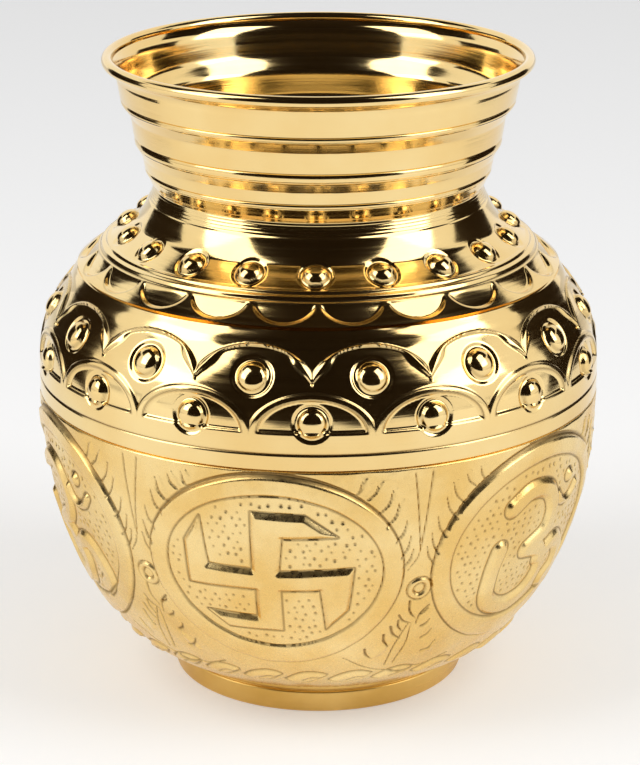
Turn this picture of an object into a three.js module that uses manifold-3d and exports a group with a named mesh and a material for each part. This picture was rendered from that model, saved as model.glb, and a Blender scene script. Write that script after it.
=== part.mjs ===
// Kalash: a round-bellied brass water pot for worship. Three spun shells are lapped and brazed on a turned foot.
// The collar and the shoulder carry rows of bosses, punched out from behind.
// Millimetres, +Z up, front at -Y, with the origin at the centre of the foot's resting face.
import * as THREE from "three";
import { mergeVertices } from "three/addons/utils/BufferGeometryUtils.js";
import Module from "manifold-3d";

const wasm = await Module();
wasm.setup();

// Driving dimensions of the sheet and its seams.
const wall = 1.0; // sheet thickness of the spun shells
const brazeGap = 0.15; // room that a brazed seam leaves between two pieces
const brazeFillet = 0.8; // leg of the fillet of brazing alloy inside each seam
const facets = 40; // facets round the axis

// The foot.
const footRadius = 30.3;
const footWidth = 2.1; // radial width of the foot ring
const footHeight = 6.7;
const footChamfer = 0.5; // bevel at the floor
const footGrooveHeight = 4.8; // height of the turned groove under the bowl
const footGrooveDepth = 0.45;

// The bowl and the belly.
const bellyRadius = 57.2;
const bellySeamHeight = 61.9; // lower edge of the shoulder's skirt
const bellyBandHeight = 3.6; // straight plain band above the seam
const bellyLap = 4.5; // how far the bowl reaches up inside the skirt
const bowlSeatMargin = 0.7; // how far the bowl's flat bottom reaches past the foot
const bowlRunOut = 0.43; // pull of the curve along the flat bottom, as a share of its run
const bowlFullness = 0.55; // pull of the curve below the belly, as a share of its rise

// The shoulder and the collar.
const ledgeRadius = 48.9; // outer edge of the collar's skirt
const ledgeHeight = 87.6;
const ledgeStep = 0.5; // how far the collar's edge stands proud of the shoulder
const ledgeGroove = 0.4; // open groove that shows the collar's edge
const collarLap = 5; // how far the shoulder reaches up under the collar
const shoulderFullness = 0.57; // pull of the shoulder's curve above the belly, as a share of its rise
const shoulderFallRun = 0.66; // pull of the curve away from the ledge, as a share of the shoulder's run
const shoulderFallRise = 0.37; // the same pull downwards, as a share of its rise
const skirtInset = 5.9; // from the ledge in to the ridge, where the skirt meets the cone with the small bosses
const skirtRise = 4.7;
const coneInset = 5.6; // from the ridge in to where the cone turns up into the throat
const coneRise = 3.6;

// The throat, and the neck's three stepped bands above it: each slopes out to an edge and flares on up from it.
const throatInset = 4.1; // from the top of the cone in to the narrowest place
const throatRise = 7.6;
const conePull = 1.6; // pull of the throat's curve up the cone
const throatPull = 1.4; // pull of the curve under the throat
const lowBand = { slope: 1.6, slopeRise: 3.5, flare: 0.5, flareRise: 2.8 };
const middleBand = { slope: 1.5, slopeRise: 3.2, flare: 0.7, flareRise: 5.0 };
const topBand = { slope: 1.9, slopeRise: 3.0, flare: 0.8, flareRise: 4.4 };
const beadRadius = 1.15; // rounded edge of the lip
const lipReach = 1.7; // from the top band out to the bead's centre
const lipRise = 3.5; // from the top band up to the bead's centre
const lipHollow = 1.4; // pull of the hollow under the lip

// The rows of bosses. The climb is a row's place, as a share of the height of the cone or the shoulder.
// The turn is where a row starts, in degrees from the front towards +X.
const coneBosses = { count: 19, radius: 2.5, rise: 1.6, turn: -0.7, climb: 0.7 };
const upperBosses = { count: 15, radius: 2.7, rise: 1.4, turn: 10.8, climb: 0.65 };
const lowerBosses = { count: 15, radius: 2.6, rise: 1.4, turn: -1.2, climb: 0.27 };
const bossFacets = { sides: 8, rings: 2 };
const hollowFacets = { sides: 6, rings: 1 };
const punchClearance = 0.6; // how much narrower the hollow behind a boss is than the boss

const brass = { metalness: 1 };
const polishedBrass = new THREE.MeshStandardMaterial({ ...brass, color: 0xd9a84a, roughness: 0.18 });
const chasedBrass = new THREE.MeshStandardMaterial({ ...brass, color: 0xe0b65c, roughness: 0.32 });
const turnedBrass = new THREE.MeshStandardMaterial({ ...brass, color: 0xc08f35, roughness: 0.35 });
const brazingAlloy = new THREE.MeshStandardMaterial({ ...brass, color: 0xc9b37a, roughness: 0.55 });

const point = (radius, height) => new THREE.Vector2(radius, height);

// Points of a Bezier curve after its first one, which the stretch before it already holds.
function curvePoints(start, pullStart, pullEnd, end, steps) {
  const curve = new THREE.CubicBezierCurve(start, pullStart, pullEnd, end);
  return curve.getPoints(steps).slice(1);
}

// The same line, moved to its left by a distance, with its corners mitred.
function offsetLeft(points, distance) {
  const leftOf = (from, to) => {
    const along = to.clone().sub(from).normalize();
    return point(-along.y, along.x);
  };
  return points.map((here, i) => {
    const before = i > 0 ? leftOf(points[i - 1], here) : leftOf(here, points[i + 1]);
    const after = i < points.length - 1 ? leftOf(here, points[i + 1]) : before;
    const middle = before.clone().add(after).normalize();
    return here.clone().addScaledVector(middle, distance / middle.dot(before));
  });
}

// A closed outline of revolution: up the outside and down the inside.
function closedOutline(outside, inside) {
  return [...outside, ...inside.slice().reverse(), outside[0].clone()];
}

// An outline turned about the vertical axis.
function turnedGeometry(outline, sides) {
  const geometry = new THREE.LatheGeometry(outline, sides);
  geometry.rotateX(Math.PI / 2);
  return geometry;
}

function namedMesh(name, geometry, material) {
  const mesh = new THREE.Mesh(geometry, material);
  mesh.name = name;
  return mesh;
}

function turned(name, outline, material) {
  return namedMesh(name, turnedGeometry(outline, facets), material);
}

// A closed solid for cutting and joining, from a geometry whose shared corners are merged.
function solidOf(geometry) {
  geometry.deleteAttribute("normal");
  geometry.deleteAttribute("uv");
  const merged = mergeVertices(geometry);
  const corners = merged.index.array;
  const kept = [];
  for (let i = 0; i < corners.length; i += 3) {
    const [a, b, c] = corners.slice(i, i + 3);
    if (a !== b && b !== c && c !== a) kept.push(a, b, c);
  }
  return new wasm.Manifold(
    new wasm.Mesh({
      numProp: 3,
      vertProperties: new Float32Array(merged.attributes.position.array),
      triVerts: new Uint32Array(kept),
    }),
  );
}

function geometryOf(solid) {
  const { vertProperties, triVerts } = solid.getMesh();
  const geometry = new THREE.BufferGeometry();
  geometry.setAttribute("position", new THREE.BufferAttribute(vertProperties, 3));
  geometry.setIndex(new THREE.BufferAttribute(triVerts, 1));
  geometry.computeVertexNormals();
  return geometry;
}

// The place and the outward direction where a line of the outline passes a height.
function seatOn(points, height) {
  const i = points.findIndex((end, n) => n > 0 && end.y >= height);
  const start = points[i - 1];
  const end = points[i];
  const along = end.clone().sub(start);
  const place = start.clone().addScaledVector(along, (height - start.y) / along.y);
  along.normalize();
  return { place, outward: point(along.y, -along.x) };
}

// A dome on a short stem, standing on a seat at a turn from the front, moved in from the surface by a depth.
function domeSolid(seat, turn, radius, rise, stem, depth, { sides, rings }) {
  const outline = [point(0, -stem), point(radius, -stem)];
  for (let ring = 0; ring <= rings; ring += 1) {
    const angle = (ring / rings) * (Math.PI / 2);
    outline.push(point(ring < rings ? radius * Math.cos(angle) : 0, rise * Math.sin(angle)));
  }
  const geometry = turnedGeometry(outline, sides);
  geometry.translate(0, 0, -depth);
  geometry.rotateY(Math.atan2(seat.outward.x, seat.outward.y));
  geometry.translate(seat.place.x, 0, seat.place.y);
  geometry.rotateZ(THREE.MathUtils.degToRad(turn - 90));
  return solidOf(geometry);
}

// A row of bosses punched out of a shell between two levels: a dome outside, a narrower hollow behind it.
function punchRow(shell, points, row, low, high) {
  const seat = seatOn(points, THREE.MathUtils.lerp(low.y, high.y, row.climb));
  let punched = shell;
  for (let i = 0; i < row.count; i += 1) {
    const turn = row.turn + (i * 360) / row.count;
    const boss = domeSolid(seat, turn, row.radius, row.rise, wall / 2, 0, bossFacets);
    const hollow = domeSolid(seat, turn, row.radius - punchClearance, row.rise, wall, wall, hollowFacets);
    punched = punched.add(boss).subtract(hollow);
  }
  return punched;
}

// The foot: a turned ring with a groove under the bowl.
function makeFootRing() {
  const inner = footRadius - footWidth;
  const outside = [
    point(footRadius - footChamfer, 0),
    point(footRadius, footChamfer),
    point(footRadius, footGrooveHeight - footGrooveDepth),
    point(footRadius - footGrooveDepth, footGrooveHeight),
    point(footRadius, footGrooveHeight + footGrooveDepth),
    point(footRadius, footHeight),
  ];
  const inside = [point(inner, 0), point(inner, footHeight)];
  return turned("foot_ring", closedOutline(outside, inside), turnedBrass);
}

// The bowl: a flat seat on the foot, one full curve to the belly, and a joggled edge that slips inside the skirt.
const bowlBase = footHeight + brazeGap;
const lapRadius = bellyRadius - wall - brazeGap;
const lapTop = bellySeamHeight + bellyLap;

function makeBowl() {
  const seat = point(footRadius + bowlSeatMargin, bowlBase);
  const brim = point(bellyRadius, bellySeamHeight - brazeGap);
  const runOut = point(seat.x + bowlRunOut * (brim.x - seat.x), seat.y);
  const fullness = point(brim.x, brim.y - bowlFullness * (brim.y - seat.y));
  const body = [point(0, bowlBase), seat, ...curvePoints(seat, runOut, fullness, brim, 12)];
  const lap = [point(lapRadius, brim.y), point(lapRadius, lapTop)];
  const bodyInside = offsetLeft(body, wall);
  bodyInside[0].x = 0;
  bodyInside.pop();
  const joggle = bodyInside[bodyInside.length - 1];
  const lapInside = [point(lapRadius - wall, joggle.y + wall), point(lapRadius - wall, lapTop)];
  const outline = [...body, ...lap, ...[...bodyInside, ...lapInside].reverse()];
  return turned("bowl", outline, chasedBrass);
}

// The skirt's slope, which the collar and the shoulder's lap share.
const ledge = point(ledgeRadius, ledgeHeight);
const ridge = point(ledge.x - skirtInset, ledge.y + skirtRise);
const skirtUp = ridge.clone().sub(ledge).normalize();
const skirtIn = point(-skirtUp.y, skirtUp.x);
const onSkirt = (along, inward) => ledge.clone().addScaledVector(skirtUp, along).addScaledVector(skirtIn, inward);

// The shoulder: a straight skirt over the bowl's edge, a round shoulder with two rows of bosses, and a lap.
function makeShoulderShell() {
  const bandTop = point(bellyRadius, bellySeamHeight + bellyBandHeight);
  const edge = onSkirt(-ledgeGroove, ledgeStep);
  const run = bandTop.x - edge.x;
  const rise = edge.y - bandTop.y;
  const fullness = point(bandTop.x, bandTop.y + shoulderFullness * rise);
  const fall = point(edge.x + shoulderFallRun * run, edge.y - shoulderFallRise * rise);
  const round = curvePoints(bandTop, fullness, fall, edge, 8);
  const outside = [point(bellyRadius, bellySeamHeight), bandTop, ...round];
  const lapDepth = wall + brazeGap;
  const lap = [onSkirt(-ledgeGroove, lapDepth), onSkirt(collarLap, lapDepth)];
  const inside = offsetLeft(outside, wall).slice(0, -1);
  inside.push(onSkirt(-ledgeGroove - wall, lapDepth + wall), onSkirt(collarLap, lapDepth + wall));
  const shell = solidOf(turnedGeometry(closedOutline([...outside, ...lap], inside), facets));
  const oneRow = punchRow(shell, outside, upperBosses, bandTop, edge);
  const bothRows = punchRow(oneRow, outside, lowerBosses, bandTop, edge);
  return namedMesh("shoulder_shell", geometryOf(bothRows), polishedBrass);
}

// The neck and collar: one spun piece with a skirt, a cone of bosses, a throat, stepped bands and a rolled lip.
function makeNeckCollar() {
  const coneTop = point(ridge.x - coneInset, ridge.y + coneRise);
  const throat = point(coneTop.x - throatInset, coneTop.y + throatRise);
  const coneUp = coneTop.clone().sub(ridge).normalize();
  const aboveCone = coneTop.clone().addScaledVector(coneUp, conePull);
  const underThroat = point(throat.x, throat.y - throatPull);
  const body = [ledge, ridge, coneTop, ...curvePoints(coneTop, aboveCone, underThroat, throat, 5)];
  let corner = throat;
  for (const band of [lowBand, middleBand, topBand]) {
    const edge = point(corner.x + band.slope, corner.y + band.slopeRise);
    corner = point(edge.x + band.flare, edge.y + band.flareRise);
    body.push(edge, corner);
  }
  const bead = point(corner.x + lipReach, corner.y + lipRise);
  const underBead = point(bead.x, bead.y - beadRadius);
  const hollowStart = point(corner.x, corner.y + lipHollow);
  const hollowEnd = point(underBead.x - lipHollow / 2, underBead.y);
  const hollow = curvePoints(corner, hollowStart, hollowEnd, underBead, 4);
  const outside = [...body, ...hollow];
  const inside = offsetLeft(outside, wall);
  inside.pop();
  const rolledEdge = [];
  for (let degrees = -45; degrees <= 180; degrees += 45) {
    const angle = THREE.MathUtils.degToRad(degrees);
    rolledEdge.push(point(bead.x + beadRadius * Math.cos(angle), bead.y + beadRadius * Math.sin(angle)));
  }
  const shell = solidOf(turnedGeometry(closedOutline([...outside, ...rolledEdge], inside), facets));
  const punched = punchRow(shell, body, coneBosses, ridge, coneTop);
  return namedMesh("neck_collar", geometryOf(punched), polishedBrass);
}

// The fillets of brazing alloy, each a small ring in the corner inside its seam.
function makeBrazeRing(name, corner, firstLeg, secondLeg) {
  const first = corner.clone().addScaledVector(firstLeg, brazeFillet);
  const second = corner.clone().addScaledVector(secondLeg, brazeFillet);
  return turned(name, [corner, first, second, corner.clone()], brazingAlloy);
}

const up = point(0, 1);
const down = point(0, -1);
const inward = point(-1, 0);
const footCorner = point(footRadius - footWidth - brazeGap, footHeight);
const bellyCorner = point(lapRadius - brazeGap, lapTop + brazeGap);
const collarCorner = onSkirt(collarLap + brazeGap, wall + brazeGap);

const kalash = new THREE.Group();
kalash.add(
  makeFootRing(),
  makeBowl(),
  makeShoulderShell(),
  makeNeckCollar(),
  makeBrazeRing("foot_braze", footCorner, inward, down),
  makeBrazeRing("belly_braze", bellyCorner, up, inward),
  makeBrazeRing("collar_braze", collarCorner, skirtUp, skirtIn),
);

export default kalash;
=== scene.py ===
import math

import bpy
import numpy as np
from mathutils import Matrix, Vector


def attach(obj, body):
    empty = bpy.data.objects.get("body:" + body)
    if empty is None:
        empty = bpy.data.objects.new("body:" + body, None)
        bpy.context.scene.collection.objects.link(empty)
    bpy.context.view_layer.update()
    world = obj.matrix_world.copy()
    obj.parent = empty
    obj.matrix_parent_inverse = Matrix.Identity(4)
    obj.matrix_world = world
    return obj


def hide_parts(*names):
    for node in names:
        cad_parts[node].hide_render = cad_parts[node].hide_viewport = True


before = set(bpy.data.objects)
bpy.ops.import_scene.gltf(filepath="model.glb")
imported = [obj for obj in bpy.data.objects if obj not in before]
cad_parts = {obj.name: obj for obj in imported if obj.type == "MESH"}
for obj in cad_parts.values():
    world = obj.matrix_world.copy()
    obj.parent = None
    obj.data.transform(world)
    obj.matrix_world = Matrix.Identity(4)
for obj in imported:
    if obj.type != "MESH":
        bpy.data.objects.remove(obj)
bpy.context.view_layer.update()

mm = 0.001

camera = {
    "aside": 0.33,
    "back": 533.9,             # from the pot's axis, along the floor
    "height": 238.2,
    "pitch": 18.4,             # degrees down
    "focalPixels": 2720,
    "photoHeight": 765,        # pixels, the photo's long side
    "sensor": 36,
}


def addCamera():
    place = Vector((camera["aside"], -camera["back"], camera["height"])) * mm
    bpy.ops.object.camera_add(location=place, rotation=(math.radians(90 - camera["pitch"]), 0, 0))
    lens = bpy.context.object.data
    lens.sensor_width = camera["sensor"]
    lens.lens = camera["sensor"] * camera["focalPixels"] / camera["photoHeight"]
    lens.clip_start = 10 * mm
    bpy.context.scene.camera = bpy.context.object


addCamera()
print("camera placed")


# Lines

def bezier(start, startPull, endPull, end, count):
    t = np.linspace(0, 1, count)[:, None]
    a, b, c, d = (np.array(p, float) for p in (start, startPull, endPull, end))
    return (1 - t) ** 3 * a + 3 * (1 - t) ** 2 * t * b + 3 * (1 - t) * t * t * c + t ** 3 * d


def curveThrough(points, count=8):
    points = np.asarray(points, float)
    ends = [2 * points[0] - points[1]], [2 * points[-1] - points[-2]]
    p = np.vstack([ends[0], points, ends[1]])
    t = np.linspace(0, 1, count, endpoint=False)[:, None]
    line = [
        (2 * b + (c - a) * t + (2 * a - 5 * b + 4 * c - d) * t ** 2 + (3 * b - a - 3 * c + d) * t ** 3) / 2
        for a, b, c, d in zip(p, p[1:], p[2:], p[3:])
    ]
    return np.vstack(line + [points[-1:]])


def evenly(line, spacing):
    line = np.asarray(line, float)
    walked = np.concatenate([[0], np.cumsum(np.hypot(*np.diff(line, axis=0).T))])
    stops = np.linspace(0, walked[-1], max(1, round(walked[-1] / spacing)) + 1)
    return np.column_stack([np.interp(stops, walked, line[:, 0]), np.interp(stops, walked, line[:, 1])])


def chain(*stretches):
    points = []
    for point in (p for stretch in stretches for p in stretch):
        if not points or math.dist(points[-1], point) > 0.01:
            points.append((float(point[0]), float(point[1])))
    return points


def offsetLeft(line, distance):
    line = np.asarray(line, float)
    along = np.diff(line, axis=0)
    along /= np.hypot(along[:, 0], along[:, 1])[:, None]
    left = np.column_stack([-along[:, 1], along[:, 0]])
    before, after = np.vstack([left[:1], left]), np.vstack([left, left[-1:]])
    middle = before + after
    middle /= np.hypot(middle[:, 0], middle[:, 1])[:, None]
    return line + middle * (distance / (middle * before).sum(1))[:, None]


def roundCorners(line, cut, count=5):
    line = np.asarray(line, float)
    rounded = [line[0]]
    for before, corner, after in zip(line, line[1:], line[2:]):
        back, on = before - corner, after - corner
        reach = min(cut, np.hypot(*back) / 2, np.hypot(*on) / 2)
        start, end = corner + back / np.hypot(*back) * reach, corner + on / np.hypot(*on) * reach
        rounded += [(1 - t) ** 2 * start + 2 * t * (1 - t) * corner + t * t * end
                    for t in np.linspace(0, 1, count)]
    return np.array(rounded + [line[-1]])


def bead(radius, height, halfHeight, bulge, count=9):
    turns = np.linspace(-90, 90, count)
    return [(radius + bulge * math.cos(math.radians(a)), height + halfHeight * math.sin(math.radians(a)))
            for a in turns]


# Spinning an outline round the pot's axis

def spinOutline(name, outline, steps, start=0, sweep=360):
    bpy.ops.object.select_all(action="DESELECT")
    bpy.ops.mesh.primitive_circle_add(vertices=len(outline), fill_type="NOTHING")
    piece = bpy.context.object
    piece.name = piece.data.name = name
    turn = math.radians(start)
    for vertex, (radius, height) in zip(piece.data.vertices, outline):
        vertex.co = Vector((radius * math.sin(turn), -radius * math.cos(turn), height)) * mm
    bpy.ops.object.mode_set(mode="EDIT")
    bpy.ops.mesh.select_all(action="SELECT")
    bpy.ops.mesh.spin(steps=steps, angle=math.radians(sweep), center=(0, 0, 0), axis=(0, 0, -1))
    bpy.ops.mesh.select_all(action="SELECT")
    bpy.ops.mesh.remove_doubles(threshold=0.002 * mm)
    bpy.ops.mesh.delete_loose(use_verts=True, use_edges=True, use_faces=False)
    if sweep < 360:
        bpy.ops.mesh.select_all(action="SELECT")
        bpy.ops.mesh.fill_holes(sides=0)           # the two cut ends
    bpy.ops.mesh.select_all(action="SELECT")
    bpy.ops.mesh.normals_make_consistent(inside=False)
    bpy.ops.object.mode_set(mode="OBJECT")
    return piece


def smoothShade(piece, angle=70):
    bpy.ops.object.select_all(action="DESELECT")
    piece.select_set(True)
    bpy.context.view_layer.objects.active = piece
    bpy.ops.object.shade_smooth_by_angle(angle=math.radians(angle))


def turnedCopies(piece, count, step):
    copies = []
    for i in range(1, count):
        bpy.ops.object.select_all(action="DESELECT")
        piece.select_set(True)
        bpy.context.view_layer.objects.active = piece
        bpy.ops.object.duplicate(linked=False)
        copy = bpy.context.object
        copy.name = copy.data.name = f"{piece.name}_{i + 1}"
        copy.data.transform(Matrix.Rotation(math.radians(i * step), 4, "Z"))
        copies.append(copy)
    return copies


# Relief on a spun surface: places are (across, up), and raised and dark are filled in by the tools below

def ease(x):
    x = np.clip(x, 0, 1)
    return x * x * (3 - 2 * x)


def surfaceOf(piece, line):
    place = np.empty(len(piece.data.vertices) * 3)
    piece.data.vertices.foreach_get("co", place)
    place = place.reshape(-1, 3) / mm
    line = np.asarray(line, float)
    step = np.diff(line, axis=0)
    walked = np.concatenate([[0], np.cumsum(np.hypot(*step.T))])
    slope = np.gradient(line, walked, axis=0)
    slope /= np.hypot(*slope.T)[:, None]
    height = place[:, 2]
    radius = np.hypot(place[:, 0], place[:, 1])
    atHeight = lambda values: np.interp(height, line[:, 1], values)
    outside = (radius > atHeight(line[:, 0]) - 0.2) & (height > line[0, 1]) & (height < line[-1, 1])
    surface = {
        "place": place, "radius": radius, "height": height, "outside": outside,
        "azimuth": np.degrees(np.arctan2(place[:, 0], -place[:, 1])),
        "climb": atHeight(walked), "outR": atHeight(slope[:, 1]), "outZ": -atHeight(slope[:, 0]),
        "raised": np.zeros(len(place)), "dark": np.zeros(len(place)),
    }
    return surface


def press(piece, surface):
    raised = np.where(surface["outside"], surface["raised"], 0)
    place, radius = surface["place"], surface["radius"]
    for axis in (0, 1):
        place[:, axis] += raised * surface["outR"] * place[:, axis] / np.maximum(radius, 0.01)
    place[:, 2] += raised * surface["outZ"]
    piece.data.vertices.foreach_set("co", (place * mm).ravel())
    piece.data.update()
    # This attribute holds dark patina in chased lines, dots and grooves, and painted shade in creases, along recess
    # walls and at the feet of raised forms.
    dark = piece.data.attributes.new("patina_and_shade", "FLOAT", "POINT")
    dark.data.foreach_set("value", np.where(surface["outside"], surface["dark"], 0))


# dark is patina in chased lines and grooves, and painted shade where the tools below darken creases and edges.
def darken(surface, where, dark):
    surface["dark"][where] = np.maximum(surface["dark"][where], dark)


def nearLine(surface, points, reach):
    points = np.asarray(points, float)
    low, high = points.min(0) - reach, points.max(0) + reach
    a, u = surface["across"], surface["up"]
    near = np.flatnonzero((a > low[0]) & (a < high[0]) & (u > low[1]) & (u < high[1]))
    a, u = a[near], u[near]
    step = np.diff(points, axis=0)
    lengths = np.maximum(np.hypot(*step.T), 1e-6)
    walked = np.concatenate([[0], np.cumsum(lengths)])
    distance, share = np.full(near.shape, 1e3), np.zeros(near.shape)
    for start, length, along, before in zip(points, lengths, step / lengths[:, None], walked):
        run = np.clip((a - start[0]) * along[0] + (u - start[1]) * along[1], 0, length)
        gap = np.hypot(a - start[0] - run * along[0], u - start[1] - run * along[1])
        closer = gap < distance
        distance[closer] = gap[closer]
        share[closer] = (before + run[closer]) / walked[-1]
    return near, distance, share


def chase(surface, points, width=0.6, depth=0.3, dark=0.75, ends=(0.4, 0.4), punches=0):
    near, distance, share = nearLine(surface, points, width)
    half = width / 2 * np.interp(share, (0, 0.5, 1), (ends[0], 1, ends[1]))
    cut = ease(1 - distance / half)
    if punches:
        cut = cut * (0.75 + 0.25 * np.cos(2 * math.pi * punches * share))
    surface["raised"][near] -= depth * cut
    darken(surface, near, dark * cut)


def swell(surface, points, width, rise, ends=(0.2, 0.2)):
    near, distance, share = nearLine(surface, points, width)
    half = width / 2 * np.interp(share, (0, 0.5, 1), (ends[0], 1, ends[1]))
    surface["raised"][near] += rise * ease(1 - distance / half)


def insideOutline(surface, outline, reach):
    closed = np.vstack([outline, outline[:1]])
    near, distance, _ = nearLine(surface, closed, reach)
    a, u = surface["across"][near], surface["up"][near]
    inside = np.zeros(near.shape, bool)
    for (a0, u0), (a1, u1) in zip(closed, closed[1:]):
        if u0 != u1:
            inside ^= ((u0 > u) != (u1 > u)) & (a < (a1 - a0) * (u - u0) / (u1 - u0) + a0)
    return near, np.where(inside, distance, -distance)


def fromEllipse(across, up, halfWidth, halfHeight):
    level = np.hypot(across / halfWidth, up / halfHeight)
    slope = np.hypot(across / halfWidth ** 2, up / halfHeight ** 2)
    return level * (level - 1) / np.maximum(slope, 1e-6)


def handWaves(surface, start, sweep, amount, seed):
    chance = np.random.default_rng(seed)
    turn = (surface["azimuth"] - start) / sweep * 2 * math.pi
    for _ in range(14):
        around, length = chance.integers(2, 9), chance.uniform(7, 20)
        phase, way = chance.uniform(0, 2 * math.pi), chance.choice((-1, 1))
        wave = np.sin(around * turn + way * 2 * math.pi * surface["climb"] / length + phase)
        surface["raised"] += amount / 14 ** 0.5 * wave


def punchBoss(surface, around, up, boss):
    gap = np.hypot(around, surface["climb"] - up)
    dome = np.sqrt(np.clip(1 - (gap / boss["radius"]) ** 2, 0, 1))
    moat = ease(1 - np.abs(gap - boss["radius"] - boss["moat"] / 2) / (boss["moat"] / 2 + 0.15))
    surface["raised"] += boss["rise"] * dome - boss["sunk"] * moat
    # Painted shade: a dark ring round the foot of each dome, where it rises from the moat.
    darken(surface, slice(None), boss["dark"] * ease(1 - np.abs(gap - boss["radius"]) / 0.35))


def aroundFrom(surface, first, count):
    period = 360 / count
    turn = (surface["azimuth"] - first + period / 2) % period - period / 2
    return surface["radius"] * np.radians(turn)


# The bowl: a flat floor, and six gores with a medallion each

sheet = 1.0
seam = 0.15
foot = {"radius": 30.3, "width": 2.1, "height": 6.7}
bowl = {
    "floorRadius": 30.0,
    "seat": (31.0, foot["height"] + seam),
    "brim": (57.2, 61.75),
    "runOut": 0.43,            # pulls of the curve, as shares of its run and rise
    "fullness": 0.55,
    "lapRadius": 56.05,
    "lapTop": 66.4,
    "grid": 0.25,
    "scale": 54.0,             # radius at which the drawing of the medallions is unrolled
    "firstMedallion": -9.4,
    "medallions": 6,
}
medallion = {
    "height": 39.4,
    "outer": (25.4, 21.7),
    "inner": (21.5, 17.3),
    "innerUp": 0.3,
    "rim": 0.55,
    "rimEdge": 1.5,
    "emblemRise": 0.75,
    "emblemBevel": 1.3,
    "dotRadius": 0.5,
    "dotDepth": 0.3,
    "dotSpacing": 1.85,
}
swastika = [
    (-3.5, 13.9), (6.4, 13.6), (12.5, 9.0), (2.1, 8.5), (1.4, 1.2), (15.7, 2.0), (14.9, -7.7), (10.5, -12.4),
    (9.3, -2.9), (1.6, -3.3), (1.6, -12.9), (-10.0, -13.0), (-14.3, -9.4), (-3.5, -9.7), (-3.2, -3.2),
    (-17.2, -3.4), (-17.0, 6.2), (-13.5, 11.9), (-12.5, 1.6), (-3.7, 1.4),
]
om = {
    "width": 4.2,
    "strokes": [
        [(-7.8, 9.2), (-3.0, 11.6), (2.5, 10.5), (5.2, 6.0), (3.8, 1.2), (-1.5, -1.5)],
        [(-1.5, -1.5), (3.8, -3.2), (6.0, -8.0), (2.5, -13.0), (-4.0, -14.0), (-9.5, -11.0),
         (-10.6, -5.0), (-9.6, 0.5)],
        [(4.5, -5.0), (9.5, -3.0), (13.5, -5.5), (14.5, -10.0), (11.5, -12.5)],
    ],
    "moon": [(6.7, 8.2), (8.5, 6.2), (10.5, 5.5), (12.6, 6.2), (14.3, 8.2)],
    "moonWidth": 1.9,
    "star": (10.5, 11.0),
    "starRadius": 1.5,
}
spandrel = {                   # (across from the middle between two medallions, height)
    "vein": [(1.7, 60.6), (0.9, 53.0), (0.1, 45.0)],
    "tail": [(0.1, 45.0), (-0.5, 42.4), (-2.2, 39.8)],
    "barbs": [
        ((8.6, 59.0), (10.6, 56.0)), ((5.9, 57.5), (8.2, 53.0)), ((4.6, 55.0), (7.0, 50.0)),
        ((3.0, 51.0), (5.0, 46.5)), ((2.1, 47.5), (3.8, 43.0)), ((1.4, 44.6), (3.1, 40.7)),
        ((11.6, 59.8), (12.6, 57.0)),
    ],
    "ring": (0.8, 35.3),
    "ringRadius": 1.9,
    "leaves": [                # start, end, width
        ((-0.7, 32.4), (1.2, 27.9), 0.8), ((-2.6, 29.2), (0.2, 26.9), 0.8), ((-4.0, 26.5), (-1.4, 23.1), 1.0),
        ((3.8, 30.7), (1.6, 26.4), 0.8), ((2.2, 28.9), (3.9, 30.1), 0.7), ((3.0, 25.6), (4.7, 27.1), 0.9),
        ((4.0, 22.2), (6.0, 24.5), 0.9), ((5.3, 18.5), (8.0, 20.9), 1.0), ((-2.5, 27.9), (-1.4, 25.1), 0.8),
        ((-5.2, 24.5), (-3.6, 21.2), 1.0), ((-9.0, 20.9), (-7.3, 18.2), 1.0),
    ],
    "blade": [(-0.1, 27.0), (-2.2, 21.5), (-3.2, 15.8)],
    "bladeBack": [(0.6, 27.0), (0.3, 21.5), (-1.2, 16.2)],
    "base": [(-13.8, 19.0), (-8.0, 15.6), (-1.3, 13.9), (8.1, 13.9), (14.0, 16.0)],
}
garland = {"height": 12.9, "leaves": 30, "length": 7.4, "width": 3.4, "rise": 0.55, "tilt": 0.16}

bowlRise = bowl["brim"][1] - bowl["seat"][1]
bowlRun = bowl["brim"][0] - bowl["seat"][0]
bowlCurve = bezier(
    bowl["seat"], (bowl["seat"][0] + bowl["runOut"] * bowlRun, bowl["seat"][1]),
    (bowl["brim"][0], bowl["brim"][1] - bowl["fullness"] * bowlRise), bowl["brim"], 120,
)


def bowlOutline():
    softBrim = [(bowl["brim"][0] - 0.25, bowl["brim"][1])]
    outside = evenly(bowlCurve, bowl["grid"])
    lap = [(bowl["lapRadius"], bowl["brim"][1]), (bowl["lapRadius"], bowl["lapTop"]),
           (bowl["lapRadius"] - sheet, bowl["lapTop"])]
    rough = [(bowl["floorRadius"], bowl["seat"][1]), *bowlCurve[::5]]
    inside = offsetLeft(rough, sheet)[:-1]
    joggle = [(bowl["lapRadius"] - sheet, inside[-1][1] + sheet)]
    start = [(bowl["floorRadius"], bowl["seat"][1])]
    return chain(start, outside[:-1], softBrim, lap, joggle, inside[::-1])


def swastikaDepth(surface):
    outline = np.array(swastika) + (0, medallion["height"])
    near, inside = insideOutline(surface, outline, 3)
    depth = np.full(surface["across"].shape, -3.0)
    depth[near] = np.maximum(inside, -3)
    return depth


def omDepth(surface):
    depth = np.full(surface["across"].shape, -3.0)
    marks = [(stroke, om["width"]) for stroke in om["strokes"]] + [(om["moon"], om["moonWidth"])]
    for points, width in marks:
        line = curveThrough(points) + (0, medallion["height"])
        near, distance, _ = nearLine(surface, line, 5)
        depth[near] = np.maximum(depth[near], width / 2 - distance)
    star = np.hypot(surface["across"] - om["star"][0], surface["up"] - om["star"][1] - medallion["height"])
    return np.maximum(depth, om["starRadius"] - star)


def fromInner(surface):
    up = surface["up"] - medallion["height"] - medallion["innerUp"]
    return fromEllipse(surface["across"], up, *medallion["inner"])


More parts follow.
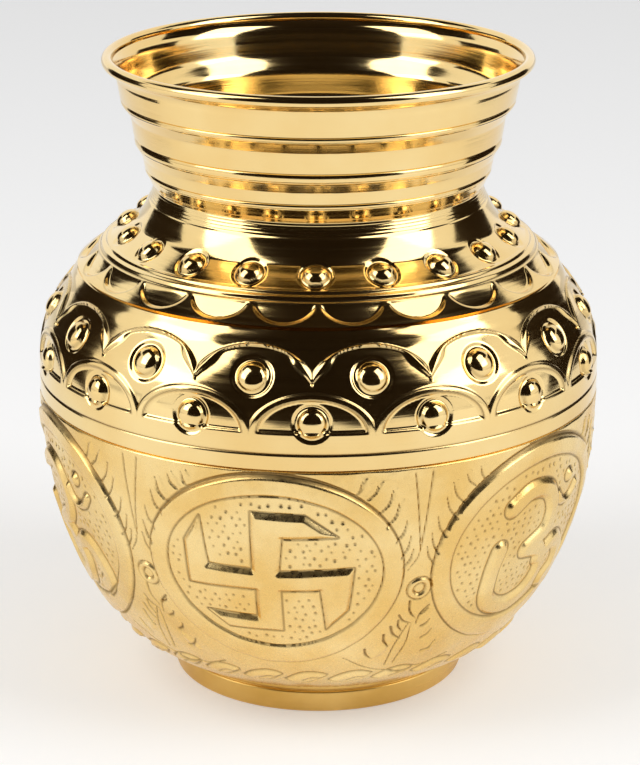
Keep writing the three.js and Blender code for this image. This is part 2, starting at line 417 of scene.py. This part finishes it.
def pressMedallion(surface, emblemDepth):
    up = surface["up"] - medallion["height"]
    outer = fromEllipse(surface["across"], up, *medallion["outer"])
    inner = fromInner(surface)
    edge = medallion["rimEdge"]
    surface["raised"] += medallion["rim"] * ease(0.5 + inner / edge) * ease(0.3 - outer / edge)
    # Both chased lines widen and deepen over the medallion's top, and their dark widens with them: patina in the
    # lines, widened there into a painted shadow crescent.
    overTop = ease(up / medallion["outer"][1] - 0.2)
    for gap, width, depth, dark in ((outer, 0.3 + 0.55 * overTop, 0.35 + 0.2 * overTop, 0.8),
                                    (inner + 0.2, 0.3 + 0.15 * overTop, 0.3, 0.7)):
        cut = ease(1 - np.abs(gap) / width)
        surface["raised"] -= depth * cut
        darken(surface, slice(None), dark * cut)
    emblem = emblemDepth(surface)
    surface["raised"] += medallion["emblemRise"] * ease(0.1 + emblem / medallion["emblemBevel"])
    border = ease(1 - np.abs(emblem + 0.15) / 0.32)
    surface["raised"] -= 0.2 * border
    darken(surface, slice(None), 0.75 * border)
    stipple(surface, emblemDepth)


def stipple(surface, emblemDepth):
    chance = np.random.default_rng(7)
    step = medallion["dotSpacing"]
    across, up = np.meshgrid(np.arange(-22, 22, step), np.arange(-18, 18, step * 0.86))
    across[::2] += step / 2
    dots = {"across": (across + chance.uniform(-0.4, 0.4, across.shape)).ravel(),
            "up": (up + chance.uniform(-0.4, 0.4, up.shape)).ravel() + medallion["height"]}
    free = (fromInner(dots) < -1.1) & (emblemDepth(dots) < -1.0)
    sizes = chance.uniform(0.7, 1.15, free.shape)
    for across, up, size in zip(dots["across"][free], dots["up"][free], sizes[free]):
        reach = medallion["dotRadius"] * size
        near = np.flatnonzero((abs(surface["across"] - across) < reach) & (abs(surface["up"] - up) < reach))
        cut = ease(1 - np.hypot(surface["across"][near] - across, surface["up"][near] - up) / reach)
        surface["raised"][near] -= medallion["dotDepth"] * size * cut
        darken(surface, near, 0.7 * cut)


def pressSpandrel(surface, middle):
    placed = lambda points: np.array(points) + (middle, 0)
    mirrored = lambda points: np.array(points) * (-1, 1) + (middle, 0)
    for turn in (placed, mirrored):
        chase(surface, turn(spandrel["vein"]), 0.55, 0.3, 0.6, (1, 0.8))
        for start, end in spandrel["barbs"]:
            bend = (start[0] + 0.3 * (end[0] - start[0]), start[1] + 0.58 * (end[1] - start[1]))
            chase(surface, turn(curveThrough([start, bend, end], 5)), 0.75, 0.38, 0.8, (0.35, 0.8), 7)
            swell(surface, turn(curveThrough([start, bend, end], 3)) + (0.9, 0.5), 2.6, 0.16)
    chase(surface, placed(curveThrough(spandrel["tail"])), 0.5, 0.25, 0.6)
    ring = np.abs(np.hypot(surface["across"] - middle - spandrel["ring"][0],
                           surface["up"] - spandrel["ring"][1]) - spandrel["ringRadius"])
    surface["raised"] += 0.35 * ease(1 - np.abs(ring + 0.0) / 0.7) - 0.3 * ease(1 - np.abs(ring - 0.75) / 0.3)
    darken(surface, slice(None), 0.55 * ease(1 - np.abs(ring - 0.7) / 0.35))
    for start, end, width in spandrel["leaves"]:
        bend = (np.add(start, end) / 2) + np.array((end[1] - start[1], start[0] - end[0])) * 0.14
        chase(surface, placed(curveThrough([start, bend, end], 5)), width, 0.4, 0.75, (1, 0.3))
    for name in ("blade", "bladeBack"):
        chase(surface, placed(curveThrough(spandrel[name])), 0.55, 0.35, 0.75, (0.5, 1))
    chase(surface, placed(curveThrough(spandrel["base"])), 0.6, 0.35, 0.65)
    swell(surface, placed([(-3.6, 22), (-7, 18.5)]), 3.4, 0.3)
    swell(surface, placed([(4.6, 21.5), (8, 18)]), 3.4, 0.3)


def pressGarland(surface):
    period = 360 / garland["leaves"]
    scale = math.radians(period) * bowl["scale"]
    shifted = (surface["azimuth"] - bowl["firstMedallion"]) % period / period - 0.5
    across = shifted * scale
    up = surface["up"] - garland["height"] - garland["tilt"] * across
    half = garland["width"] / 2 * np.clip(1 - (2 * across / scale) ** 2, 0.05, 1)
    leaf = half - np.abs(up)
    surface["raised"] += garland["rise"] * ease(leaf / 1.1) * ease((surface["up"] - 9) / 1.5)
    edge = ease(1 - np.abs(leaf) / 0.35) * ease((surface["up"] - 9) / 1.5)
    surface["raised"] -= 0.2 * edge
    darken(surface, slice(None), 0.6 * edge)
    vein = ease(1 - np.abs(up - 0.25 * np.sin(across)) / 0.3) * ease(leaf / 0.8) * (across > -scale * 0.1)
    surface["raised"] -= 0.15 * vein
    darken(surface, slice(None), 0.4 * vein)


def makeGores(name, first, emblemDepth):
    sweep = 360 / bowl["medallions"]
    line = evenly(bowlCurve, bowl["grid"])
    steps = round(math.radians(sweep) * bowl["brim"][0] / bowl["grid"])
    gore = spinOutline(name, bowlOutline(), steps, first - sweep / 2, sweep)
    surface = surfaceOf(gore, line[2:])
    surface["across"] = bowl["scale"] * np.radians((surface["azimuth"] - first + 180) % 360 - 180)
    surface["up"] = surface["height"]
    handWaves(surface, first, sweep, 0.045, 3)
    edge = math.radians(sweep / 2) * bowl["scale"]
    pressSpandrel(surface, -edge)
    pressSpandrel(surface, edge)
    pressGarland(surface)
    pressMedallion(surface, emblemDepth)
    surface["raised"] *= ease((surface["up"] - 7.5) / 2) * ease((bowl["brim"][1] - surface["up"]) / 0.5)
    press(gore, surface)
    smoothShade(gore)
    return [gore] + turnedCopies(gore, 3, 120)


def makeBowlFloor():
    low, high = bowl["seat"][1], bowl["seat"][1] + sheet
    edge = bowl["floorRadius"]
    below = [(0, low + 0.3), (0.8, low + 0.25), (1.4, low), *evenly([(1.4, low), (edge, low)], 2.5)]
    above = [(edge, high), *evenly([(edge, high), (1.4, high)], 2.5), (0.8, high + 0.05), (0, high + 0.1)]
    floor = spinOutline("bowl_floor", chain(below, above), 144)
    smoothShade(floor)
    return floor


bowlPieces = (makeGores("bowl_swastika_gore", bowl["firstMedallion"], swastikaDepth)
              + makeGores("bowl_om_gore", bowl["firstMedallion"] + 60, omDepth) + [makeBowlFloor()])
print("bowl chased:", len(bowlPieces), "pieces")


# The shoulder: a plain band over the bowl's edge, and two rows of bosses under arches

ledge = np.array((48.9, 87.6))
ridge = ledge + (-5.9, 4.7)
skirtUp = (ridge - ledge) / np.hypot(*(ridge - ledge))
skirtIn = np.array((-skirtUp[1], skirtUp[0]))
onSkirt = lambda along, inward: tuple(ledge + skirtUp * along + skirtIn * inward)

shoulder = {
    "radius": 57.2,
    "seamHeight": 61.9,
    "bandHeight": 3.6,
    "fullness": 0.57,          # pulls of the curve, as shares of its rise and run
    "fallRun": 0.66,
    "fallRise": 0.37,
    "edge": onSkirt(-0.4, 0.5),
    "grid": 0.25,
    "gores": 5,
    "repeats": 15,
    "bandLine": 65.3,          # the chased line round the band
    "plainTop": 69.2,          # foot of the recesses
}
upperRow = {"first": 10.8, "height": 79.4, "radius": 2.7, "rise": 1.25, "moat": 1.5, "sunk": 0.4, "dark": 0.35}
lowerRow = {"first": -1.2, "height": 71.3, "radius": 2.6, "rise": 1.3, "moat": 1.2, "sunk": 0.35, "dark": 0.35}
arches = {
    "upperFoot": 78.3, "upperTop": 84.5, "upperRise": 0.5, "upperWidth": 0.3, "leafWidth": 0.75,
    "lowerFoot": 68.5, "lowerTop": 76.5, "rimTop": 0.8, "rimFoot": 1.4,
    "ground": 0.35, "recess": 0.6,
}

bandTop = (shoulder["radius"], shoulder["seamHeight"] + shoulder["bandHeight"])
shoulderRun = bandTop[0] - shoulder["edge"][0]
shoulderRise = shoulder["edge"][1] - bandTop[1]
shoulderCurve = bezier(
    bandTop, (bandTop[0], bandTop[1] + shoulder["fullness"] * shoulderRise),
    (shoulder["edge"][0] + shoulder["fallRun"] * shoulderRun,
     shoulder["edge"][1] - shoulder["fallRise"] * shoulderRise), shoulder["edge"], 80,
)


def shoulderLine():
    start = (shoulder["radius"], shoulder["seamHeight"] + 0.25)
    return chain(evenly([start, bandTop], shoulder["grid"]), evenly(shoulderCurve, shoulder["grid"]))


def shoulderOutline():
    lapDepth = sheet + seam
    lap = [onSkirt(-0.4, lapDepth), onSkirt(5, lapDepth), onSkirt(5, lapDepth + sheet),
           onSkirt(-0.4 - sheet, lapDepth + sheet)]
    rough = [(shoulder["radius"], shoulder["seamHeight"]), *shoulderCurve[::8]]
    inside = offsetLeft(rough, sheet)[:-1]
    softEdge = [(shoulder["radius"] - 0.25, shoulder["seamHeight"])]
    return chain(softEdge, shoulderLine(), lap, inside[::-1])


def pressShoulder(surface, line):
    line = np.asarray(line)
    walked = np.concatenate([[0], np.cumsum(np.hypot(*np.diff(line, axis=0).T))])
    climbAt = lambda height: float(np.interp(height, line[:, 1], walked))
    count = shoulder["repeats"]
    climb, height = surface["climb"], surface["height"]
    half = surface["radius"] * math.radians(180 / count)

    # the lower arches stand level with the band, round sunk recesses
    low = aroundFrom(surface, lowerRow["first"], count)
    foot, top = climbAt(arches["lowerFoot"]), climbAt(arches["lowerTop"])
    outer = fromEllipse(low, climb - foot, half, top - foot)
    floorLine = climbAt(shoulder["plainTop"])
    inner = fromEllipse(low, climb - floorLine, half - arches["rimFoot"], top - floorLine - arches["rimTop"])
    ground = ease(outer / 0.7) * ease((climb - foot) / 0.6)
    recess = ease(-inner / 0.5) * ease((climb - floorLine) / 0.5)
    fade = 1 - ease((height - 83.5) / 2.5)
    surface["raised"] -= arches["ground"] * ground * fade + arches["recess"] * recess
    # Painted shade: dark lines along the recess walls, along the foot of the step round each lower arch, and along
    # each recess's lower edge.
    recessEdgeShade = ease(1 - np.abs(inner) / 0.3) * (climb > floorLine)
    darken(surface, slice(None), 0.75 * recessEdgeShade)
    darken(surface, slice(None), 0.45 * ease(1 - np.abs(outer - 0.3) / 0.35) * (climb > foot))
    darken(surface, slice(None), 0.35 * ease(1 - np.abs(climb - floorLine - 0.2) / 0.3) * (inner < 0))

    # the upper arches are thin lines that widen into leaves beside each cusp
    high = aroundFrom(surface, upperRow["first"], count)
    foot, top = climbAt(arches["upperFoot"]), climbAt(arches["upperTop"])
    share = np.clip((climb - foot) / (top - foot), 0, 1)
    leaf = np.sin(math.pi * np.clip(share / 0.8, 0, 1)) ** 1.5
    gap = np.abs(fromEllipse(high, climb - foot, half, top - foot) + 0.6 * leaf)
    width = (arches["upperWidth"] + arches["leafWidth"] * leaf) * ease(share / 0.12 + 0.1)
    arch = np.clip(1 - gap / np.maximum(width, 0.05), 0, 1) * (climb > foot - 0.2)
    surface["raised"] += arches["upperRise"] * arch ** 0.8
    # Painted shade along the edges of the raised arch lines and leaves.
    darken(surface, slice(None), 0.5 * ease(1 - np.abs(gap - width) / 0.25) * (climb > foot))

    punchBoss(surface, high, climbAt(upperRow["height"]), upperRow)
    punchBoss(surface, low, climbAt(lowerRow["height"]), lowerRow)
    bandLine = ease(1 - np.abs(height - shoulder["bandLine"]) / 0.28)
    surface["raised"] -= 0.25 * bandLine
    darken(surface, slice(None), 0.8 * bandLine)


def makeShoulder():
    sweep = 360 / shoulder["gores"]
    steps = 24 * round(math.radians(sweep) * shoulder["radius"] / shoulder["grid"] / 24)
    start = lowerRow["first"] - sweep / 2
    gore = spinOutline("shoulder_gore", shoulderOutline(), steps, start, sweep)
    surface = surfaceOf(gore, shoulderLine())
    handWaves(surface, start, sweep, 0.02, 5)
    pressShoulder(surface, shoulderLine())
    press(gore, surface)
    smoothShade(gore)
    return [gore] + turnedCopies(gore, shoulder["gores"], sweep)


shoulderPieces = makeShoulder()
print("shoulder chased:", len(shoulderPieces), "pieces")


# The collar: a skirt with scalloped pockets, a ridge of two beads, and a cone of small bosses

collar = {
    "coneInset": 5.6,
    "coneRise": 3.6,
    "throatInset": 4.1,
    "throatRise": 7.6,
    "conePull": 1.6,
    "throatPull": 1.4,
    "joint": 14,               # of 40 steps up the throat, where the plain neck takes over
    "grid": 0.27,
    "steps": 1254,             # divides by 22 pockets and by 19 bosses
}
pockets = {"count": 22, "first": 360 / 44, "top": 5.4, "halfWidth": 6.25, "drop": 4.85, "depth": 0.85, "wall": 0.9}
ridgeBeads = {"places": (6.75, 8.1), "halfWidth": 0.62, "rise": 0.32, "groove": 5.95}
coneRow = {"first": -0.7, "height": 94.8, "radius": 2.45, "rise": 1.5, "moat": 1.0, "sunk": 0.25, "dark": 0.35}

coneTop = ridge + (-collar["coneInset"], collar["coneRise"])
coneUp = (coneTop - ridge) / np.hypot(*(coneTop - ridge))
throat = coneTop + (-collar["throatInset"], collar["throatRise"])
throatCurve = bezier(coneTop, coneTop + coneUp * collar["conePull"], throat - (0, collar["throatPull"]), throat, 41)


def collarLine():
    lower = throatCurve[:collar["joint"] + 1]
    return chain(*(evenly(stretch, collar["grid"]) for stretch in ((ledge, ridge), (ridge, coneTop), lower)))


def collarOutline():
    rough = [ledge, ridge, coneTop, *throatCurve[1:collar["joint"] + 1:4]]
    if not np.allclose(rough[-1], throatCurve[collar["joint"]]):
        rough.append(throatCurve[collar["joint"]])
    return chain(collarLine(), offsetLeft(rough, sheet)[::-1])


def pressCollar(surface, line):
    line = np.asarray(line)
    walked = np.concatenate([[0], np.cumsum(np.hypot(*np.diff(line, axis=0).T))])
    climb = surface["climb"]
    across = aroundFrom(surface, pockets["first"], pockets["count"])
    below = pockets["top"] - climb
    gap = -fromEllipse(across, below, pockets["halfWidth"], pockets["drop"])
    floor = np.clip(below / pockets["drop"], 0, 1) ** 0.6
    surface["raised"] -= pockets["depth"] * floor * ease(gap / pockets["wall"]) * (below > 0)
    # Painted shade along each pocket's wall and in the corner under the ridge at its top.
    darken(surface, slice(None), 0.3 * ease(1 - np.abs(gap) / 0.3) * (below > -0.1))
    darken(surface, slice(None), 0.4 * ease(1 - np.abs(below) / 0.25) * (gap > 0))
    for place in ridgeBeads["places"]:
        surface["raised"] += ridgeBeads["rise"] * ease(1 - np.abs(climb - place) / ridgeBeads["halfWidth"])
    groove = ease(1 - np.abs(climb - ridgeBeads["groove"]) / 0.3)
    surface["raised"] -= 0.15 * groove
    darken(surface, slice(None), 0.5 * groove)
    around = aroundFrom(surface, coneRow["first"], 19)
    punchBoss(surface, around, float(np.interp(coneRow["height"], line[:, 1], walked)), coneRow)


def makeCollar():
    piece = spinOutline("collar", collarOutline(), collar["steps"])
    surface = surfaceOf(piece, collarLine())
    pressCollar(surface, collarLine())
    press(piece, surface)
    smoothShade(piece)
    return piece


# The neck: the throat, three stepped bands with beaded edges, and the rolled lip

neck = {
    "steps": 400,
    "bands": [                 # slope, its rise, flare, its rise, bead's half height, bead's bulge
        (1.6, 3.5, 0.5, 2.8, 0.45, 0.22), (1.5, 3.2, 0.7, 5.0, 0.85, 0.3), (1.9, 3.0, 0.8, 4.4, 0.45, 0.22),
    ],
    "lipRadius": 1.15,
    "lipReach": 1.7,
    "lipRise": 3.5,
    "lipHollow": 1.4,
    "grooves": (101.0, 101.6, 102.2, 102.8, 103.4, 104.0),   # turned lines round the throat
    "grooveDepth": 0.14,
    "grid": 0.3,
}


def neckLines():
    outside = [evenly(throatCurve[collar["joint"]:], 0.15)]
    rough = list(throatCurve[collar["joint"]::4])
    corner = throat
    for slope, slopeRise, flare, rise, half, bulge in neck["bands"]:
        edge = corner + (slope, slopeRise)
        below = corner + np.array((slope, slopeRise)) * (1 - (half + 0.25) / slopeRise)
        after = edge + np.array((flare, rise)) * (half + 0.2) / rise
        outside.append(evenly([corner, below], neck["grid"]))
        outside.append([(edge[0] - bulge, edge[1] - half - 0.12), *bead(edge[0] - bulge, edge[1], half, bulge),
                        (edge[0] - bulge * 0.6, edge[1] + half + 0.1)])
        corner = edge + (flare, rise)
        outside.append(evenly([after, corner], neck["grid"]))
        rough += [edge, corner]
    lip = corner + (neck["lipReach"], neck["lipRise"])
    under = lip - (0, neck["lipRadius"])
    hollow = bezier(corner, corner + (0, neck["lipHollow"]), under - (neck["lipHollow"] / 2, 0), under, 17)
    turns = np.radians(np.linspace(-90, 180, 28))
    roll = lip + neck["lipRadius"] * np.column_stack([np.cos(turns), np.sin(turns)])
    inside = offsetLeft(rough + list(hollow[4::4]), sheet)[:-1]
    return chain(*outside, hollow, roll), evenly(roundCorners(inside[::-1], 0.6), 0.45)


def makeNeck():
    outside, inside = neckLines()
    outside = np.array(outside)
    for height in neck["grooves"]:
        near = np.abs(outside[:, 1] - height) < 0.35
        outside[near, 0] -= neck["grooveDepth"] * np.cos((outside[near, 1] - height) / 0.35 * math.pi / 2)
    piece = spinOutline("neck", chain(outside, inside), neck["steps"])
    smoothShade(piece, 50)
    return piece


collarPieces = [makeCollar(), makeNeck()]
print("collar and neck spun")


# The foot

def makeFoot():
    radius, inner, top = foot["radius"], foot["radius"] - foot["width"], foot["height"]
    outside = [(radius - 0.6, 0), (radius - 0.15, 0.3), (radius, 0.9), (radius, 4.2), (radius - 0.1, 4.45),
               (radius - 0.45, 4.7), (radius - 0.1, 4.95), (radius, 5.3), (radius - 0.05, 5.8),
               (radius - 0.3, top - 0.15), (radius - 0.6, top)]
    ring = roundCorners([(inner + 0.4, 0), *outside, (inner, top), (inner, 0.4), (inner + 0.4, 0)], 0.25, 4)
    piece = spinOutline("foot", chain(ring[:-1]), 240)
    smoothShade(piece, 50)
    return piece


footPiece = makeFoot()
print("foot turned")


# Finishes: Principled brass, with tone, roughness and turning lines from Object coordinates

chasedBrass = {
    "name": "chased_brass", "pale": (0.93, 0.70, 0.32), "deep": (0.84, 0.56, 0.19), "cloud": 70,
    "rough": (0.20, 0.34), "grain": (1, 1, 1), "grainScale": 900, "bump": 0.006, "line": (0.16, 0.085, 0.025),
}
polishedBrass = {
    "name": "polished_brass", "pale": (0.92, 0.70, 0.33), "deep": (0.86, 0.60, 0.24), "cloud": 40,
    "rough": (0.07, 0.15), "grain": (0.004, 0.004, 1), "grainScale": 2600, "bump": 0.008,
    "line": (0.16, 0.085, 0.025),
}
turnedBrass = {
    "name": "turned_brass", "pale": (0.80, 0.53, 0.17), "deep": (0.66, 0.40, 0.10), "cloud": 60,
    "rough": (0.26, 0.40), "grain": (0.004, 0.004, 1), "grainScale": 3000, "bump": 0.012,
    "line": (0.16, 0.085, 0.025),
}
brazingAlloy = {
    "name": "brazing_alloy", "pale": (0.62, 0.52, 0.33), "deep": (0.45, 0.34, 0.18), "cloud": 500,
    "rough": (0.42, 0.62), "grain": (1, 1, 1), "grainScale": 1500, "bump": 0.05, "line": (0.16, 0.085, 0.025),
}


def addNode(material, kind, inputs=(), **settings):
    node = material.node_tree.nodes.new(kind)
    for name, value in settings.items():
        setattr(node, name, value)
    for name, value in dict(inputs).items():
        if isinstance(value, bpy.types.NodeSocket):
            material.node_tree.links.new(value, node.inputs[name])
        else:
            node.inputs[name].default_value = value
    return node


def brass(finish):
    material = bpy.data.materials.new(finish["name"])
    material.use_nodes = True
    shader = material.node_tree.nodes["Principled BSDF"]
    shader.inputs["Metallic"].default_value = 1
    links = material.node_tree.links
    place = addNode(material, "ShaderNodeTexCoord").outputs["Object"]

    cloud = addNode(material, "ShaderNodeTexNoise", {"Vector": place, "Scale": finish["cloud"], "Detail": 4})
    tone = addNode(material, "ShaderNodeValToRGB", {"Fac": cloud.outputs["Fac"]})
    tone.color_ramp.elements[0].position, tone.color_ramp.elements[1].position = 0.35, 0.65
    tone.color_ramp.elements[0].color = (*finish["deep"], 1)
    tone.color_ramp.elements[1].color = (*finish["pale"], 1)
    # The attribute mixes in the line colour: patina in chased lines and grooves, painted shade in creases and at
    # the feet of raised forms.
    patina_and_shade = addNode(material, "ShaderNodeAttribute", attribute_name="patina_and_shade").outputs["Fac"]
    lined = addNode(material, "ShaderNodeMix", {0: patina_and_shade, 6: tone.outputs["Color"], 7: (*finish["line"], 1)},
                    data_type="RGBA")
    links.new(lined.outputs[2], shader.inputs["Base Color"])

    stretched = addNode(material, "ShaderNodeMapping", {"Vector": place, "Scale": finish["grain"]})
    grain = addNode(material, "ShaderNodeTexNoise", {
        "Vector": stretched.outputs["Vector"], "Scale": finish["grainScale"], "Detail": 3})
    low, high = finish["rough"]
    rough = addNode(material, "ShaderNodeMapRange", {
        "Value": grain.outputs["Fac"], "From Min": 0.3, "From Max": 0.7, "To Min": low, "To Max": high})
    inLines = addNode(material, "ShaderNodeMath", {0: patina_and_shade, 1: 0.25, 2: rough.outputs["Result"]},
                      operation="MULTIPLY_ADD", use_clamp=True)
    links.new(inLines.outputs["Value"], shader.inputs["Roughness"])
    bump = addNode(material, "ShaderNodeBump", {
        "Height": grain.outputs["Fac"], "Strength": 1, "Distance": finish["bump"] * mm})
    links.new(bump.outputs["Normal"], shader.inputs["Normal"])
    return material


def finishPieces(pieces, finish, node):
    material = brass(finish)
    for piece in pieces:
        piece.data.materials.clear()
        piece.data.materials.append(material)
        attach(piece, "root")
        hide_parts(node)


finishPieces(bowlPieces, chasedBrass, "bowl")
finishPieces(shoulderPieces, polishedBrass, "shoulder_shell")
finishPieces(collarPieces, polishedBrass, "neck_collar")
finishPieces([footPiece], turnedBrass, "foot_ring")
alloy = brass(brazingAlloy)
for seamName in ("foot_braze", "belly_braze", "collar_braze"):
    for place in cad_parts[seamName].material_slots:
        place.material = alloy
print("finishes applied")


# The studio

studio = {
    "floorFront": 0.65,        # metres in front of the pot
    "floorBack": 7.0,
    "floorHalf": 5.0,
    "floorTone": 0.84,
    "floorGlow": 0.3,
    "worldGlow": 1.0,          # what the camera and the reflections see
    "worldFill": 0.40,         # what lights the pot and the floor
    "boxWay": (0.72, -0.31, 0.62),
    "boxDistance": 0.95,
    "boxSize": (0.5, 0.85),
    "boxPower": 3.6,
    "cardTone": (0.030, 0.020, 0.012),
}


def seenOrReflected(material, nodes, links):
    path = nodes.new("ShaderNodeLightPath")
    seen = path.outputs["Is Camera Ray"]
    for name in ("Is Glossy Ray", "Is Transmission Ray"):
        join = nodes.new("ShaderNodeMath")
        join.operation = "MAXIMUM"
        links.new(seen, join.inputs[0])
        links.new(path.outputs[name], join.inputs[1])
        seen = join.outputs["Value"]
    return seen


def addFloor():
    depth = studio["floorFront"] + studio["floorBack"]
    bpy.ops.mesh.primitive_plane_add(size=1, location=(0, depth / 2 - studio["floorFront"], 0))
    floor = bpy.context.object
    floor.name = "studio_floor"
    floor.scale = (2 * studio["floorHalf"], depth, 1)
    bpy.ops.object.transform_apply(location=True, scale=True)
    material = bpy.data.materials.new("white_floor")
    material.use_nodes = True
    nodes, links = material.node_tree.nodes, material.node_tree.links
    shader = nodes["Principled BSDF"]
    shader.inputs["Base Color"].default_value = (*[studio["floorTone"]] * 3, 1)
    shader.inputs["Roughness"].default_value = 0.9
    shader.inputs["Specular IOR Level"].default_value = 0.1
    shader.inputs["Emission Color"].default_value = (1, 1, 1, 1)
    glow = nodes.new("ShaderNodeMath")
    glow.operation = "MULTIPLY"
    glow.inputs[1].default_value = studio["floorGlow"]
    links.new(seenOrReflected(material, nodes, links), glow.inputs[0])
    links.new(glow.outputs["Value"], shader.inputs["Emission Strength"])
    floor.data.materials.append(material)


def addWorld():
    world = bpy.data.worlds.new("studio")
    bpy.context.scene.world = world
    world.use_nodes = True
    nodes, links = world.node_tree.nodes, world.node_tree.links
    background = nodes["Background"]
    background.inputs["Color"].default_value = (1, 1, 1, 1)
    level = nodes.new("ShaderNodeMapRange")
    level.inputs["To Min"].default_value = studio["worldFill"]
    level.inputs["To Max"].default_value = studio["worldGlow"]
    links.new(seenOrReflected(world, nodes, links), level.inputs["Value"])
    links.new(level.outputs["Result"], background.inputs["Strength"])


def addCard(name, place, size, turn):
    bpy.ops.mesh.primitive_plane_add(size=1, location=place, rotation=[math.radians(a) for a in turn])
    card = bpy.context.object
    card.name = name
    card.scale = (*size, 1)
    bpy.ops.object.transform_apply(location=True, rotation=True, scale=True)
    material = bpy.data.materials.new(name)
    material.use_nodes = True
    shader = material.node_tree.nodes["Principled BSDF"]
    shader.inputs["Base Color"].default_value = (*studio["cardTone"], 1)
    shader.inputs["Roughness"].default_value = 1
    shader.inputs["Specular IOR Level"].default_value = 0
    card.data.materials.append(material)
    card.visible_camera = False
    card.visible_diffuse = False
    card.visible_shadow = False


def addSoftbox(side):
    way = Vector((side * studio["boxWay"][0], *studio["boxWay"][1:]))
    place = way.normalized() * studio["boxDistance"] + Vector((0, 0, 80 * mm))
    bpy.ops.object.light_add(type="AREA", location=place)
    box = bpy.context.object
    box.rotation_euler = way.to_track_quat("Z", "Y").to_euler()
    box.data.shape = "RECTANGLE"
    box.data.size, box.data.size_y = studio["boxSize"]
    box.data.energy = studio["boxPower"]
    box.visible_camera = False


addFloor()
addWorld()
addCard("dark_front", (0, -1.25, 0.55), (3.2, 2.1), (90, 0, 0))
addCard("dark_overhead", (0, -0.25, 1.25), (3.2, 2.2), (0, 0, 0))
for side in (-1, 1):
    addSoftbox(side)
    addCard(f"flag_{side + 2}", (side * 0.32, 0.2, 0.13), (0.3, 0.26), (90, 0, 90))
bpy.context.scene.view_settings.view_transform = "Standard"
print("studio lit")
